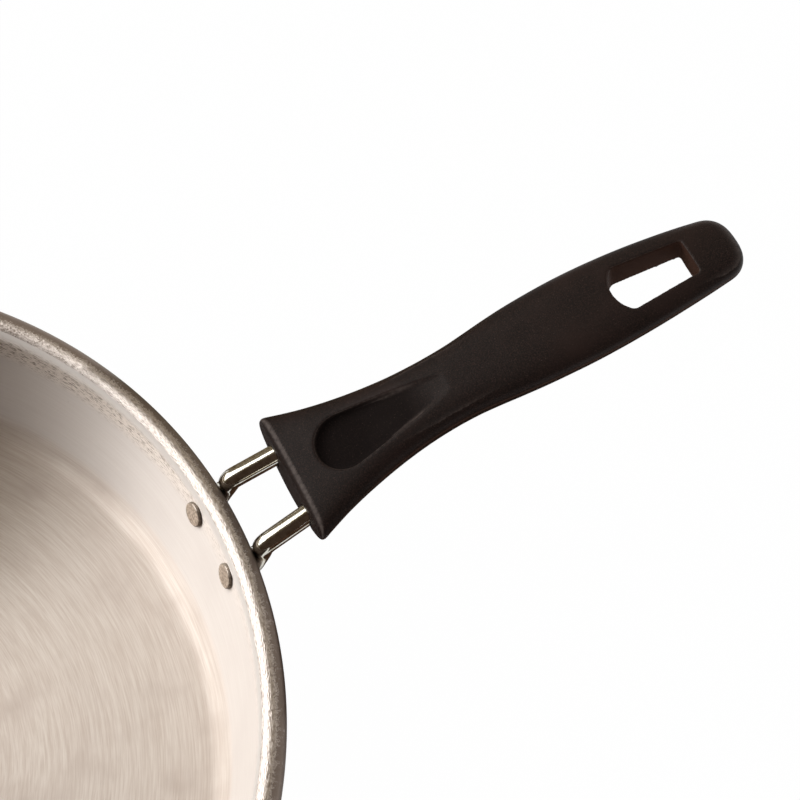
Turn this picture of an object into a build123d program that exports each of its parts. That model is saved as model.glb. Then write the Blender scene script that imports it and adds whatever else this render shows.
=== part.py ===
"""Omelette pan: a cast aluminium pan, two chromed rods and a moulded handle.

Frame: origin on the pan's axis, on the face that it rests on. +Z is up and
the handle points along +X. Lengths are millimetres, angles are degrees.
"""

import os
from math import asin, atan2, cos, pi, radians, sin, tan

from build123d import *

os.makedirs("parts", exist_ok=True)

# Clearances and overruns shared by all the pieces
slip_clearance = 0.05  # between a shaft and its hole, on the radius
seat_clearance = 0.03  # between two faces that rest on each other
overrun = 6.0  # how far a cut runs past the face that it opens

# Pan body
rim_radius = 140.0  # outside of the bead
bead_diameter = 7.6
pan_height = 45.7  # from the rest face to the top of the bead
floor_thickness = 3.2
wall_thickness = 3.0
wall_flare = 17.3  # lean of the side, from the vertical
floor_corner_radius = 6.5  # inside the pan, between the floor and the side
crease_radius = 1.2  # where the side runs into the bead

# Rivets
rivet_shank_radius = 2.4
rivet_head_radius = 3.6
rivet_head_height = 1.1
rivet_head_edge = 0.3
rivet_tail_radius = 3.8
rivet_tail_height = 1.7
rivet_spacing = 21.4  # between the two rivets' axes, at the wall
rivet_drop = 8.9  # below the bead's centre, down the wall

# Chromed rods
rod_radius = 2.95
rod_spacing = 20.6  # where the rods enter the handle
rod_depth = 7.5  # rod axis below the top of the handle's front face
rod_tuck = 0.45  # how far the rod's inner side reaches in past the bead's outside
rod_bend_rise = 4.25  # the bend's corner above the bead's centre, up the wall
rod_bend_radius = 3.1
rod_inset = 0.4  # towards the pan's middle plane, from the rivet's axis
rod_engagement = 27.0  # length held inside the handle
notch_depth = 1.0
pad_radius = 4.7  # flattened end round the rivet
pad_thickness = 2.6
pad_reach = 4.2  # flat part above the rivet

# Handle
rim_gap = 16.0  # from the rim to the handle's front face
face_rise = 10.6  # top of the front face above the top of the bead
chord_rise = 9.2  # slope of the handle's chord
handle_length = 140.2
arch_rise = 7.7  # height of the arch over its own chord
arch_span = 165.0
ferrule_width = 41.0  # at the front face
seat_width = 28.0  # over the clamp
waist_width = 21.7
belly_width = 27.3
tip_width = 19.9
ferrule_thickness = 13.4
seat_thickness = 15.2
waist_thickness = 14.0
belly_thickness = 13.3
tip_thickness = 10.5
face_edge_radius = 0.8

# Thumb recess in the top of the handle
recess_start = 10.2  # from the front face
recess_span = 38.4
recess_width = 16.8
recess_tail_width = 6.4
recess_depth = 3.0  # at the round end
recess_tail_depth = 0.5
recess_draft = 14.0
recess_floor_radius = 0.4

# Hang hole
hang_margin = 14.8  # from the hole to the end of the handle
hang_length = 24.6
hang_width = 14.3  # at the round end
hang_end_width = 11.0
hang_bow = 3.4  # how far the round end bows out
hang_corner_radius = 1.2
hang_shoulder_radius = 2.0
hang_edge_radius = 0.7

# Clamp inside the handle
screw_distance = 18.5  # from the front face to the screw, along the rods
screw_radius = 2.0
screw_head_radius = 3.9
screw_head_height = 2.6
screw_head_edge = 0.5
screw_tip_setback = 0.4  # the screw's end inside the insert
drive_width = 1.0
drive_length = 4.6
drive_depth = 1.3
insert_radius = 3.0
insert_length = 4.4
insert_groove_width = 1.2
insert_groove_depth = 0.4
plate_length = 10.4
plate_width = 18.4
plate_thickness = 1.6
plate_corner_radius = 1.2
washer_radius = 3.8
washer_thickness = 1.0
washer_split = 0.8
pocket_clearance = 0.4
bore_clearance = 0.1


def mix(start, end, share):
    """Blend two sizes."""
    return start + (end - start) * share


# Bead, wall, rivet and front face places. The wall's middle runs through the bead's centre
bead_radius = bead_diameter / 2
bead_distance = rim_radius - bead_radius
bead_height = pan_height - bead_radius
flare = radians(wall_flare)
wall_face = wall_thickness / 2
face_distance = rim_radius + rim_gap
face_top_height = pan_height + face_rise
rivet_distance = bead_distance - rivet_drop * sin(flare)
rivet_turn = asin(rivet_spacing / 2 / rivet_distance)


def wall_x(height, side):
    """Distance of the side from the pan's axis: inner face -1, outer face +1."""
    return bead_distance - (bead_height - height) * tan(flare) + side * wall_face / cos(flare)


class WallPlace:
    """Directions at one rivet: out of the wall, down along it and across it."""

    def __init__(self, side):
        turn = side * rivet_turn
        self.side = side
        self.out = Vector(cos(flare) * cos(turn), cos(flare) * sin(turn), -sin(flare))
        self.down = Vector(-sin(flare) * cos(turn), -sin(flare) * sin(turn), -cos(flare))
        self.across = Vector(-sin(turn), cos(turn), 0)
        self.bead = Vector(bead_distance * cos(turn), bead_distance * sin(turn), bead_height)
        self.rivet = self.point(rivet_drop, 0)

    def point(self, down, out):
        """A point given down the wall and out of it, from the bead's centre."""
        return self.bead + self.down * down + self.out * out


left = WallPlace(1)
right = WallPlace(-1)

# Pan body: one section turned round the pan's axis, with a hole for each rivet
with BuildPart() as pan_body:
    with BuildSketch(Plane.XZ) as pan_section:
        with BuildLine():
            Polyline(
                (0, 0),
                (wall_x(0, 1), 0),
                (wall_x(bead_height, 1), bead_height),
                (wall_x(bead_height, -1), bead_height),
                (wall_x(floor_thickness, -1), floor_thickness),
                (0, floor_thickness),
                close=True,
            )
        make_face()
        fillet(pan_section.vertices().group_by(Axis.Y)[1].sort_by(Axis.X)[-1], floor_corner_radius)
        fillet(
            pan_section.vertices().group_by(Axis.Y)[0].sort_by(Axis.X)[-1],
            floor_corner_radius + wall_thickness,
        )
        with Locations((bead_distance, bead_height)):
            Circle(bead_radius)
        creases = pan_section.vertices().filter_by_position(
            Axis.Y, bead_height - bead_radius, bead_height - bead_radius / 4
        )
        fillet(creases, crease_radius)
    revolve(axis=Axis.Z)
    for place in (left, right):
        with BuildSketch(Plane(origin=place.rivet, z_dir=place.out)):
            Circle(rivet_shank_radius + slip_clearance)
        extrude(amount=wall_thickness, both=True, mode=Mode.SUBTRACT)

pan_body.part.label = "pan_body"
export_step(pan_body.part, "parts/pan_body.step")

# Rivets: a flat head inside the pan and a domed tail outside, against the rod's pad.
# A flat face on a round wall touches it at its edge, so the head sits off by its sagitta
head_face = -wall_face - rivet_head_radius**2 / 2 / rivet_distance - seat_clearance
head_top = head_face - rivet_head_height
pad_face = wall_face + seat_clearance
pad_back = pad_face + pad_thickness
tail_face = pad_back + seat_clearance
tail_top = tail_face + rivet_tail_height
tail_round = (rivet_tail_radius**2 + rivet_tail_height**2) / 2 / rivet_tail_height


def make_rivet(place):
    """One rivet, turned round its own axis."""
    with BuildPart() as rivet:
        with BuildSketch(Plane(origin=place.rivet, x_dir=place.across, z_dir=place.down)):
            with BuildLine():
                Polyline(
                    (0, tail_top),
                    (0, head_top),
                    (rivet_head_radius - rivet_head_edge, head_top),
                    (rivet_head_radius, head_top + rivet_head_edge),
                    (rivet_head_radius, head_face),
                    (rivet_shank_radius, head_face),
                    (rivet_shank_radius, tail_face),
                    (rivet_tail_radius, tail_face),
                )
                RadiusArc((rivet_tail_radius, tail_face), (0, tail_top), -tail_round)
            make_face()
        revolve(axis=Axis(origin=place.rivet, direction=place.out))
    return rivet


rivet_left = make_rivet(left)
rivet_left.part.label = "rivet_left"
export_step(rivet_left.part, "parts/rivet_left.step")

rivet_right = make_rivet(right)
rivet_right.part.label = "rivet_right"
export_step(rivet_right.part, "parts/rivet_right.step")

# The rods' places: the bend's corner outside the bead, and the entry into the handle
rod_offset = bead_radius + rod_radius - rod_tuck
rod_entry_height = face_top_height - rod_depth


def rod_point(place, down, out):
    """A point on the rod's line down the wall, a little inward of the rivet."""
    return place.point(down, out) - place.across * place.side * rod_inset


def rod_corner(place):
    """The corner of the bend, outside the bead."""
    return rod_point(place, -rod_bend_rise, rod_offset)


def rod_entry(place):
    """Where the rod's axis meets the plane of the front face."""
    return Vector(face_distance, place.side * rod_spacing / 2, rod_entry_height)


def rod_direction(place):
    """The straight part's direction, into the handle."""
    return (rod_entry(place) - rod_corner(place)).normalized()


rod_rise = atan2(rod_direction(left).Z, rod_direction(left).X)
rod_plane = Plane(
    origin=(face_distance, 0, rod_entry_height),
    x_dir=(cos(rod_rise), 0, sin(rod_rise)),
    z_dir=(-sin(rod_rise), 0, cos(rod_rise)),
)

# The clamp's levels, measured from the rods' own plane, downwards negative
notch_level = notch_depth - rod_radius
pocket_level = notch_level + bore_clearance
plate_level = notch_level - seat_clearance
washer_level = plate_level - plate_thickness - seat_clearance
head_level = washer_level - washer_thickness - seat_clearance

# The forged stretch between the round rod and its pad, each ring given by its place down
# the wall, its inner face off the wall's middle, its half thickness and its half width,
# as shares of the bead's radius, the bead's radius, the rod's radius and the rod's radius
forged_shares = (
    (-0.34, 1.06, 0.80, 1.02),
    (0.20, 1.05, 0.62, 1.10),
    (0.60, 0.90, 0.55, 1.22),
    (0.95, 0.62, 0.50, 1.36),
    (1.32, 0.44, 0.46, 1.50),
)


def make_rod(place):
    """One rod: straight in the handle, bent down outside the bead, flattened at the wall."""
    along = rod_direction(place)
    inner_end = rod_entry(place) + along * rod_engagement
    turn = (along * -1).get_angle(place.down)
    bend_end = rod_bend_radius * tan(radians(turn / 2)) - rod_bend_rise
    with BuildPart() as rod:
        with BuildLine():
            FilletPolyline(
                inner_end,
                rod_corner(place),
                rod_point(place, bend_end + seat_clearance, rod_offset),
                radius=rod_bend_radius,
            )
        with BuildSketch(Plane(origin=inner_end, z_dir=along)):
            Circle(rod_radius)
        sweep()
        round_end = rod_point(place, bend_end + seat_clearance, rod_offset)
        with BuildSketch(Plane(origin=round_end, x_dir=place.across, z_dir=place.down)):
            Circle(rod_radius)
        for down, inner, half_thickness, half_width in forged_shares:
            centre = inner * bead_radius + half_thickness * rod_radius
            ring = rod_point(place, down * bead_radius, centre)
            with BuildSketch(Plane(origin=ring, x_dir=place.across, z_dir=place.down)):
                Ellipse(half_width * rod_radius, half_thickness * rod_radius)
        loft()
        with BuildSketch(
            Plane(origin=place.point(rivet_drop, pad_face), x_dir=place.across, z_dir=place.out)
        ):
            Circle(pad_radius)
            with Locations((0, pad_reach / 2)):
                Rectangle(2 * pad_radius, pad_reach)
            Circle(rivet_shank_radius + slip_clearance, mode=Mode.SUBTRACT)
        extrude(amount=pad_thickness)
        with BuildSketch(Plane(origin=place.rivet, z_dir=place.out)):
            Circle(rivet_shank_radius + slip_clearance)
        extrude(amount=pad_back + overrun, mode=Mode.SUBTRACT)
        with BuildSketch(rod_plane.offset(notch_level)):
            with Locations((screw_distance, 0)):
                Rectangle(plate_length + 2 * bore_clearance, rod_spacing + 2 * overrun)
        extrude(amount=-notch_depth - overrun, mode=Mode.SUBTRACT)
    return rod


rod_left = make_rod(left)
rod_left.part.label = "rod_left"
export_step(rod_left.part, "parts/rod_left.step")

rod_right = make_rod(right)
rod_right.part.label = "rod_right"
export_step(rod_right.part, "parts/rod_right.step")

# Handle: sections stand on the handle's chord, at stations along it
chord = Vector(cos(radians(chord_rise)), 0, sin(radians(chord_rise)))
up = Vector(-sin(radians(chord_rise)), 0, cos(radians(chord_rise)))
chord_start = Vector(face_distance, 0, face_top_height)


def crown_height(along):
    """Height of the handle's top over its chord."""
    return 4 * arch_rise * along / arch_span * (1 - along / arch_span)


def handle_plane(along, height):
    """A plane across the handle, its origin at a height over the chord."""
    return Plane(origin=chord_start + chord * along + up * height, x_dir=(0, 1, 0), z_dir=chord)


# Stations as shares of the length, and their width and thickness as shares of the way
# from one named size to the next; the last ones round off the tip
sizes = {
    "ferrule": (ferrule_width, ferrule_thickness),
    "seat": (seat_width, seat_thickness),
    "waist": (waist_width, waist_thickness),
    "belly": (belly_width, belly_thickness),
    "tip": (tip_width, tip_thickness),
    "end": (0, 0),
}
station_shares = (
    (-0.040, "ferrule", "seat", -0.36, -0.25),
    (0.000, "ferrule", "seat", 0.00, 0.00),
    (0.035, "ferrule", "seat", 0.30, 0.35),
    (0.075, "ferrule", "seat", 0.59, 0.68),
    (0.110, "ferrule", "seat", 0.81, 0.92),
    (0.145, "seat", "waist", 0.00, 0.00),
    (0.180, "seat", "waist", 0.33, 0.12),
    (0.250, "seat", "waist", 0.81, 0.55),
    (0.330, "waist", "belly", 0.00, 0.00),
    (0.410, "waist", "belly", 0.16, 0.20),
    (0.500, "waist", "belly", 0.68, 0.60),
    (0.610, "waist", "belly", 0.98, 1.00),
    (0.710, "belly", "tip", 0.06, 0.20),
    (0.800, "belly", "tip", 0.29, 0.48),
    (0.880, "belly", "tip", 0.62, 0.76),
    (0.940, "belly", "tip", 0.96, 0.96),
    (0.970, "tip", "end", 0.07, 0.07),
    (0.987, "tip", "end", 0.20, 0.22),
    (0.996, "tip", "end", 0.38, 0.42),
    (1.000, "tip", "end", 0.56, 0.60),
)
equator_share = 0.34  # the widest level, as a share of the thickness from the top
# Powers of the section's curve above and below its widest level: square over round at the
# front face, rounder from the waist on
ferrule_top_power = 3.4
ferrule_foot_power = 1.7
grip_top_power = 2.6
grip_foot_power = 2.15
settled_share = 0.25  # where they have settled, as a share of the length
section_points = 16


def section_outline(width, thickness, top_power, foot_power):
    """Points of a rounded section: the upper part flatter, the lower part deeper."""
    points = []
    for step in range(section_points):
        angle = 2 * pi * step / section_points
        power = top_power if sin(angle) > 0 else foot_power
        sideways = abs(cos(angle)) ** (2 / power) * (1 if cos(angle) > 0 else -1)
        upright = abs(sin(angle)) ** (2 / power) * (1 if sin(angle) > 0 else -1)
        reach = equator_share if upright > 0 else 1 - equator_share
        points.append((sideways * width / 2, (upright * reach - equator_share) * thickness))
    return points


chord_plane = Plane(origin=chord_start, x_dir=chord, z_dir=up)
hang_end = handle_length - hang_margin
hang_start = hang_end - hang_length
recess_end = recess_start + recess_span
recess_foot = handle_plane(recess_start, crown_height(recess_start) - recess_depth).origin
recess_toe = handle_plane(recess_end, crown_height(recess_end) - recess_tail_depth).origin
recess_line = (recess_toe - recess_foot).normalized()
recess_plane = Plane(origin=recess_foot, x_dir=recess_line, z_dir=recess_line.cross(Vector(0, 1, 0)))
recess_length = (recess_toe - recess_foot).length
recess_round = recess_width / 2 - recess_depth * tan(radians(recess_draft))
recess_tail = recess_tail_width / 2 - recess_tail_depth * tan(radians(recess_draft))

with BuildPart() as handle:
    for along_share, start, end, width_share, thickness_share in station_shares:
        width = mix(sizes[start][0], sizes[end][0], width_share)
        thickness = mix(sizes[start][1], sizes[end][1], thickness_share)
        along = along_share * handle_length
        settled = min(1, max(0, along_share / settled_share))
        top_power = mix(ferrule_top_power, grip_top_power, settled)
        foot_power = mix(ferrule_foot_power, grip_foot_power, settled)
        with BuildSketch(handle_plane(along, crown_height(along))):
            with BuildLine():
                Spline(*section_outline(width, thickness, top_power, foot_power), periodic=True)
            make_face()
    loft()
    split(bisect_by=Plane(origin=(face_distance, 0, 0), z_dir=(1, 0, 0)), keep=Keep.TOP)
    fillet(handle.faces().sort_by(Axis.X)[0].edges(), face_edge_radius)

    # Thumb recess: its floor slopes up towards the waist, its sides have a draft
    with BuildSketch(recess_plane) as recess_floor:
        with Locations((recess_round, 0)):
            Circle(recess_round)
        with Locations((recess_length, 0)):
            Rectangle(recess_tail, 2 * recess_tail, align=(Align.MAX, Align.CENTER))
        make_hull()
    extrude(amount=recess_depth + overrun, taper=-recess_draft, mode=Mode.SUBTRACT)
    recess_face = handle.faces().filter_by(recess_plane).sort_by_distance(recess_plane.origin)[0]
    fillet(recess_face.edges(), recess_floor_radius)

    # Hang hole through both faces, with a soft edge at each
    with BuildSketch(chord_plane) as hang_hole:
        with BuildLine():
            shoulder = hang_start + hang_bow
            Polyline(
                (shoulder, hang_width / 2),
                (hang_end, hang_end_width / 2),
                (hang_end, -hang_end_width / 2),
                (shoulder, -hang_width / 2),
            )
            ThreePointArc((shoulder, hang_width / 2), (hang_start, 0), (shoulder, -hang_width / 2))
        make_face()
        fillet(hang_hole.vertices().group_by(Axis.X)[-1], hang_corner_radius)
        fillet(hang_hole.vertices().group_by(Axis.X)[0], hang_shoulder_radius)
    extrude(amount=arch_rise + tip_thickness + overrun, both=True, mode=Mode.SUBTRACT)
    hang_edges = handle.edges(Select.LAST).filter_by(Axis((0, 0, 0), up), reverse=True)
    fillet(hang_edges, hang_edge_radius)

    # A bore for each rod, the pocket of the clamp and the seat of the insert
    for place in (left, right):
        along = rod_direction(place)
        with BuildSketch(Plane(origin=rod_entry(place) - along * overrun, z_dir=along)):
            Circle(rod_radius + bore_clearance)
        extrude(amount=overrun + rod_engagement + bore_clearance, mode=Mode.SUBTRACT)
    with BuildSketch(rod_plane.offset(pocket_level)):
        with Locations((screw_distance, 0)):
            RectangleRounded(
                plate_length + 2 * pocket_clearance,
                plate_width + 2 * pocket_clearance,
                plate_corner_radius + pocket_clearance,
            )
    extrude(amount=-ferrule_thickness, mode=Mode.SUBTRACT)
    with BuildSketch(rod_plane.offset(pocket_level)):
        with Locations((screw_distance, 0)):
            Circle(insert_radius + slip_clearance)
    extrude(amount=insert_length + slip_clearance, mode=Mode.SUBTRACT)

handle.part.label = "handle"
export_step(handle.part, "parts/handle.step")

# Threaded insert: brass, with a groove that the moulding grips
with BuildPart() as threaded_insert:
    with BuildSketch(rod_plane.offset(pocket_level)):
        with Locations((screw_distance, 0)):
            Circle(insert_radius)
            Circle(screw_radius + slip_clearance, mode=Mode.SUBTRACT)
    extrude(amount=insert_length)
    with BuildSketch(rod_plane.offset(pocket_level + (insert_length - insert_groove_width) / 2)):
        with Locations((screw_distance, 0)):
            Circle(insert_radius)
            Circle(insert_radius - insert_groove_depth, mode=Mode.SUBTRACT)
    extrude(amount=insert_groove_width, mode=Mode.SUBTRACT)

threaded_insert.part.label = "threaded_insert"
export_step(threaded_insert.part, "parts/threaded_insert.step")

# Clamp plate: lies in the notches of both rods, so that neither can pull out
with BuildPart() as clamp_plate:
    with BuildSketch(rod_plane.offset(plate_level)):
        with Locations((screw_distance, 0)):
            RectangleRounded(plate_length, plate_width, plate_corner_radius)
            Circle(screw_radius + bore_clearance, mode=Mode.SUBTRACT)
    extrude(amount=-plate_thickness)

clamp_plate.part.label = "clamp_plate"
export_step(clamp_plate.part, "parts/clamp_plate.step")

# Spring washer: a split ring under the screw's head
with BuildPart() as spring_washer:
    with BuildSketch(rod_plane.offset(washer_level)):
        with Locations((screw_distance, 0)):
            Circle(washer_radius)
            Circle(screw_radius + bore_clearance, mode=Mode.SUBTRACT)
            Rectangle(
                washer_radius + overrun, washer_split, align=(Align.MIN, Align.CENTER), mode=Mode.SUBTRACT
            )
    extrude(amount=-washer_thickness)

spring_washer.part.label = "spring_washer"
export_step(spring_washer.part, "parts/spring_washer.step")

# Clamp screw: pan head with a cross drive, into the insert from below
screw_tip = pocket_level + insert_length - screw_tip_setback
with BuildPart() as clamp_screw:
    with BuildSketch(rod_plane.offset(head_level)):
        with Locations((screw_distance, 0)):
            Circle(screw_radius)
    extrude(amount=screw_tip - head_level)
    with BuildSketch(rod_plane.offset(head_level)):
        with Locations((screw_distance, 0)):
            Circle(screw_head_radius)
    extrude(amount=-screw_head_height)
    head_bottom = clamp_screw.faces().sort_by(Axis(rod_plane.origin, rod_plane.z_dir))[0]
    fillet(head_bottom.edges(), screw_head_edge)
    with BuildSketch(rod_plane.offset(head_level - screw_head_height)):
        with Locations((screw_distance, 0)):
            Rectangle(drive_length, drive_width)
            Rectangle(drive_width, drive_length)
    extrude(amount=drive_depth, mode=Mode.SUBTRACT)

clamp_screw.part.label = "clamp_screw"
export_step(clamp_screw.part, "parts/clamp_screw.step")
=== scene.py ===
# %% [markdown]
# # Omelette pan
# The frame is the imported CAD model: the pan, its two rods, two rivets, the handle and the
# clamp hidden inside it. The pieces that show are rebuilt here as finer meshes in the same
# place and size, and the small clamp parts keep their CAD shape and get a finish.

# %% Load the frame
import math

import bmesh
import bpy
from mathutils import Matrix, Vector


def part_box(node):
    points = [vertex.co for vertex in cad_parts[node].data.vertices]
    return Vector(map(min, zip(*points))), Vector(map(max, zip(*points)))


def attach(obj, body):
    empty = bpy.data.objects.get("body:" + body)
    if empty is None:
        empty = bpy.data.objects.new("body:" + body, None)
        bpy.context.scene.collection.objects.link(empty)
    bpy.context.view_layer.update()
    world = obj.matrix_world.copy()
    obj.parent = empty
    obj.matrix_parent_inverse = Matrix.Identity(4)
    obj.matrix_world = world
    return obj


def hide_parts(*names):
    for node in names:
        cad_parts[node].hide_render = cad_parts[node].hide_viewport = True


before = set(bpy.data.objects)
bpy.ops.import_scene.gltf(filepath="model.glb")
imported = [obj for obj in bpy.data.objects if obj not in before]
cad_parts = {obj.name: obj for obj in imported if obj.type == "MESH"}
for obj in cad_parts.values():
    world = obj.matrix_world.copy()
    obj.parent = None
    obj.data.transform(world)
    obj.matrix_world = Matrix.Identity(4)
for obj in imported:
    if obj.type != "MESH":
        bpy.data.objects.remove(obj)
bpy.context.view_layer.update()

mm = 0.001

# %% [markdown]
# ## Small helpers
# A mesh is made from points in millimetres and from faces, shaded smooth, and tied to the
# CAD node that it stands for. Closed rings of points, joined one to the next, make every
# round piece here: the pan, the rods, the rivets and the handle.


# %% Mesh helpers
def mesh_object(name, points, faces):
    """A smooth mesh object from points in millimetres."""
    mesh = bpy.data.meshes.new(name)
    mesh.from_pydata([Vector(p) * mm for p in points], [], faces)
    mesh.validate()
    mesh.shade_smooth()
    piece = bpy.data.objects.new(name, mesh)
    bpy.context.scene.collection.objects.link(piece)
    return piece


def ring_faces(rings, sides, caps=False):
    """Quads between rings of equal size, and a cap on each end if asked for."""
    faces = []
    for ring in range(rings - 1):
        low = ring * sides
        high = low + sides
        for side in range(sides):
            after = (side + 1) % sides
            faces.append((low + side, low + after, high + after, high + side))
    if caps:
        faces.append(tuple(reversed(range(sides))))
        faces.append(tuple(range((rings - 1) * sides, rings * sides)))
    return faces


def stands_for(piece, node):
    """The piece shows in place of a CAD node."""
    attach(piece, "root")
    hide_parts(node)
    low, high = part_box(node)
    reach = max(max(abs(v) for v in piece.matrix_world @ Vector(c)) for c in piece.bound_box)
    print(piece.name, len(piece.data.polygons), "faces, reach", round(reach / mm, 1), "mm, node to",
          [round(v / mm, 1) for v in high])


# %% [markdown]
# ## Pan body
# The real pan is cast aluminium, turned inside on a lathe. One section turned round the
# axis gives the floor, the corner, the flared side and the thick bead, all as tangent arcs
# and lines, so the light runs over them without a break.

# %% Section of the pan
rim_radius = 140.0
bead_radius = 3.8
pan_height = 45.7
floor_thickness = 3.2
wall_thickness = 3.0
flare = math.radians(17.3)
floor_corner_radius = 6.5
crease_radius = 1.2
arc_step = math.radians(4)

bead_distance = rim_radius - bead_radius
bead_height = pan_height - bead_radius


def wall_point(down, out):
    """A point of the section, down the wall and out of it from the bead's centre."""
    return (
        bead_distance - down * math.sin(flare) + out * math.cos(flare),
        bead_height - down * math.cos(flare) - out * math.sin(flare),
    )


def arc(centre, radius, start, end):
    """Points along an arc, both ends included."""
    steps = max(2, round(abs(end - start) / arc_step))
    turns = [start + (end - start) * step / steps for step in range(steps + 1)]
    return [(centre[0] + radius * math.cos(t), centre[1] + radius * math.sin(t)) for t in turns]


def corner_centre(height, radius, side):
    """Centre of the arc between a level face and the wall's face on one side."""
    out = side * wall_thickness / 2 - radius
    level = height + radius
    across = (out + (level - bead_height) * math.sin(flare)) / math.cos(flare)
    return (bead_distance + across, level)


def crease(side):
    """The small arc between the wall and the bead, from the wall upwards."""
    out = wall_thickness / 2 + crease_radius
    down = math.sqrt((bead_radius + crease_radius) ** 2 - out**2)
    turn_wall = -flare if side < 0 else math.pi - flare
    centre = wall_point(down, side * out)
    to_bead = math.atan2(bead_height - centre[1], bead_distance - centre[0])
    return centre, turn_wall, to_bead


inner_centre, inner_wall, inner_bead = crease(-1)
outer_centre, outer_wall, outer_bead = crease(1)
outer_corner_radius = floor_corner_radius + wall_thickness

section = [(r, floor_thickness) for r in (0.0, 20.0, 40.0, 60.0, 80.0, 100.0)]
section += arc(
    corner_centre(floor_thickness, floor_corner_radius, -1), floor_corner_radius, -math.pi / 2, -flare
)
section += arc(inner_centre, crease_radius, inner_wall, inner_bead)
section += arc(
    (bead_distance, bead_height), bead_radius, inner_bead + math.pi, outer_bead - math.pi
)[1:]
section += arc(outer_centre, crease_radius, outer_bead, outer_wall)[1:]
section += arc(corner_centre(0, outer_corner_radius, 1), outer_corner_radius, -flare, -math.pi / 2)
section += [(r, 0.0) for r in (100.0, 80.0, 60.0, 40.0, 20.0, 0.0)]
print("pan section", len(section), "points, widest", round(max(p[0] for p in section), 2), "mm")

# %% Turn the section
turn_steps = 640


def turned(name, outline, steps):
    """A solid of revolution about Z whose outline starts and ends on the axis."""
    middle = outline[1:-1]
    points = []
    for radius, height in middle:
        for step in range(steps):
            turn = 2 * math.pi * step / steps
            points.append((radius * math.cos(turn), radius * math.sin(turn), height))
    faces = ring_faces(len(middle), steps)
    first, last = len(points), len(points) + 1
    points += [(0, 0, outline[0][1]), (0, 0, outline[-1][1])]
    end = (len(middle) - 1) * steps
    for step in range(steps):
        after = (step + 1) % steps
        faces.append((after, step, first))
        faces.append((end + step, end + after, last))
    return mesh_object(name, points, faces)


pan = turned("pan_turned", section, turn_steps)
stands_for(pan, "pan_body")

# %% [markdown]
# ## Places round the handle
# Each rod and rivet sits on the wall, a little to one side of the handle. The same three
# directions serve both: out of the wall, down along it and across it.

# %% Wall places
rivet_drop = 8.9
rivet_spacing = 21.4
rod_radius = 2.95
rod_spacing = 20.6
face_distance = 156.0
face_top = 56.3
rod_entry_height = face_top - 7.5


class WallPlace:
    """Directions at one rivet, and points given down the wall and out of it."""

    def __init__(self, side):
        distance = bead_distance - rivet_drop * math.sin(flare)
        turn = side * math.asin(rivet_spacing / 2 / distance)
        self.side = side
        self.out = Vector(
            (math.cos(flare) * math.cos(turn), math.cos(flare) * math.sin(turn), -math.sin(flare))
        )
        self.down = Vector(
            (-math.sin(flare) * math.cos(turn), -math.sin(flare) * math.sin(turn), -math.cos(flare))
        )
        self.across = Vector((-math.sin(turn), math.cos(turn), 0))
        self.bead = Vector(
            (bead_distance * math.cos(turn), bead_distance * math.sin(turn), bead_height)
        )

    def point(self, down, out, across=0.0):
        return self.bead + self.down * down + self.out * out + self.across * across


places = {"left": WallPlace(1), "right": WallPlace(-1)}
for name, place in places.items():
    print(name, "rivet at", [round(v, 1) for v in place.point(rivet_drop, 0)])

# %% [markdown]
# ## Rods
# Each rod is round chromed steel. It leaves the handle straight, bends down outside the
# bead and is forged flat into a pad for its rivet. Sections along its line make it: round
# ones first, then wider and thinner ones that slide in towards the wall.

# %% Rod sections
rod_offset = 6.3
rod_bend_rise = 4.25
rod_bend_radius = 3.1
rod_inset = 0.4
rod_engagement = 27.0
pad_radius = 4.7
pad_half = 1.3
pad_start = 6.0
slide_length = 6.0
rod_sides = 48
# Down the wall from the bead's centre: inner face off the wall's middle, half thickness,
# half width and squareness of the section, all in millimetres but the last
forging = (
    (-2.75, 3.35, 2.95, 2.95, 2.0),
    (-1.3, 4.03, 2.36, 3.00, 2.0),
    (0.8, 3.98, 1.83, 3.24, 2.1),
    (2.3, 3.42, 1.62, 3.60, 2.3),
    (3.6, 2.36, 1.48, 4.01, 2.6),
    (5.0, 1.70, 1.37, 4.42, 3.2),
    (pad_start, 1.55, pad_half, pad_radius, 4.0),
)


def curve_through(table, value):
    """The sizes at a value, on curves that pass smoothly through the rows of a table."""
    value = min(max(value, table[0][0]), table[-1][0])
    index = max(i for i, row in enumerate(table[:-1]) if row[0] <= value)
    before, low, high = table[max(index - 1, 0)], table[index], table[index + 1]
    after = table[min(index + 2, len(table) - 1)]
    gap = high[0] - low[0]
    t = (value - low[0]) / gap
    sizes = []
    for k in range(1, len(low)):
        slope_low = (high[k] - before[k]) / (high[0] - before[0]) * gap
        slope_high = (after[k] - low[k]) / (after[0] - low[0]) * gap
        sizes.append(
            (2 * t**3 - 3 * t**2 + 1) * low[k] + (t**3 - 2 * t**2 + t) * slope_low
            + (3 * t**2 - 2 * t**3) * high[k] + (t**3 - t**2) * slope_high
        )
    return sizes


def squared_ring(centre, wide, thick, half_width, half_thickness, power, sides):
    """Points of a rounded section that gets squarer as its power grows."""
    ring = []
    for side in range(sides):
        turn = 2 * math.pi * side / sides
        c, s = math.cos(turn), math.sin(turn)
        x = math.copysign(abs(c) ** (2 / power), c) * half_width
        y = math.copysign(abs(s) ** (2 / power), s) * half_thickness
        ring.append(centre + wide * x + thick * y)
    return ring


def rod_line(place):
    """Where the rod meets the front face, the corner of its bend, and its direction inwards."""
    entry = Vector((face_distance, place.side * rod_spacing / 2, rod_entry_height))
    corner = place.point(-rod_bend_rise, rod_offset, -place.side * rod_inset)
    return entry, corner, (entry - corner).normalized()


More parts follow.
